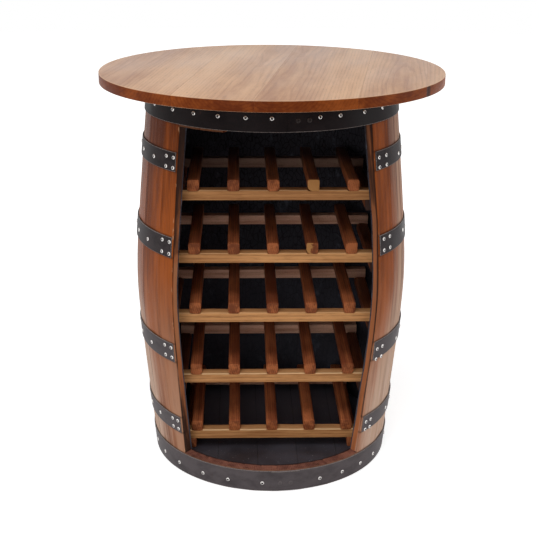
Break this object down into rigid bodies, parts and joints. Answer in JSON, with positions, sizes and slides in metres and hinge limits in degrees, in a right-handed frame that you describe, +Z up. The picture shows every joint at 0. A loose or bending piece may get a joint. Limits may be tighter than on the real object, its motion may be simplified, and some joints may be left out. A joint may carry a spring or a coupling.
{
  "type": "barrel bar cabinet",
  "caption": "Round bar table made from an upright oak barrel, with a sawn-out front opening, steel hoops and a rack of square oak sticks for bottles lying down.",
  "frame": {"origin": "on the barrel's axis, on the floor it stands on", "axes": "+Z up through the table top; the sawn-out opening faces -Y; +X is to the right seen from the front"},
  "size_m": [0.7718, 0.7718, 0.915],
  "materials": {
    "stave_oak": "stained and oiled oak, satin, worn, with darker and greyer streaks",
    "sawn_oak": "sawn oak, matt, reddish, charred on the inside",
    "head_oak": "oak painted near-black, low gloss",
    "table_oak": "edge-glued oak boards, lacquered, satin, orange-brown rim",
    "hoop_steel": "dark blackened steel, semi-matt, rubbed along the edges",
    "rail_oak": "golden oak, oiled, satin",
    "bar_oak": "red-brown oak, oiled, satin, darker end grain"
  },
  "bodies": {
    "root": {"stave_01": "stave_oak", "stave_02": "stave_oak", "stave_03": "stave_oak", "stave_04": "stave_oak", "stave_05": "stave_oak", "stave_06": "stave_oak", "stave_07": "stave_oak", "stave_08": "stave_oak", "stave_09": "stave_oak", "stave_10": "stave_oak", "stave_11": "stave_oak", "stave_12": "stave_oak", "stave_13": "stave_oak", "stave_14": "stave_oak", "stave_15": "stave_oak", "stave_16": "stave_oak", "stave_17": "stave_oak", "stave_18": "stave_oak", "stave_19": "stave_oak", "stave_20": "stave_oak", "stave_21": "stave_oak", "bottom_stub_01": "sawn_oak", "bottom_stub_02": "sawn_oak", "bottom_stub_03": "sawn_oak", "bottom_stub_04": "sawn_oak", "bottom_stub_05": "sawn_oak", "bottom_stub_06": "sawn_oak", "bottom_stub_07": "sawn_oak", "bottom_stub_08": "sawn_oak", "top_stub_01": "sawn_oak", "top_stub_02": "sawn_oak", "top_stub_03": "sawn_oak", "top_stub_04": "sawn_oak", "top_stub_05": "sawn_oak", "top_stub_06": "sawn_oak", "top_stub_07": "sawn_oak", "top_stub_08": "sawn_oak", "bottom_head": "head_oak", "top_head": "head_oak", "top_head_hoop": "hoop_steel", "bottom_head_hoop": "hoop_steel", "upper_quarter_hoop": "hoop_steel", "upper_bilge_hoop": "hoop_steel", "lower_bilge_hoop": "hoop_steel", "lower_quarter_hoop": "hoop_steel", "table_board_1": "table_oak", "table_board_2": "table_oak", "table_board_3": "table_oak", "table_board_4": "table_oak", "table_board_5": "table_oak", "front_rail_1": "rail_oak", "bar_frame_1": "bar_oak", "front_rail_2": "rail_oak", "bar_frame_2": "bar_oak", "front_rail_3": "rail_oak", "bar_frame_3": "bar_oak", "front_rail_4": "rail_oak", "bar_frame_4": "bar_oak", "front_rail_5": "rail_oak", "bar_frame_5": "bar_oak"}
  },
  "joints": []
}
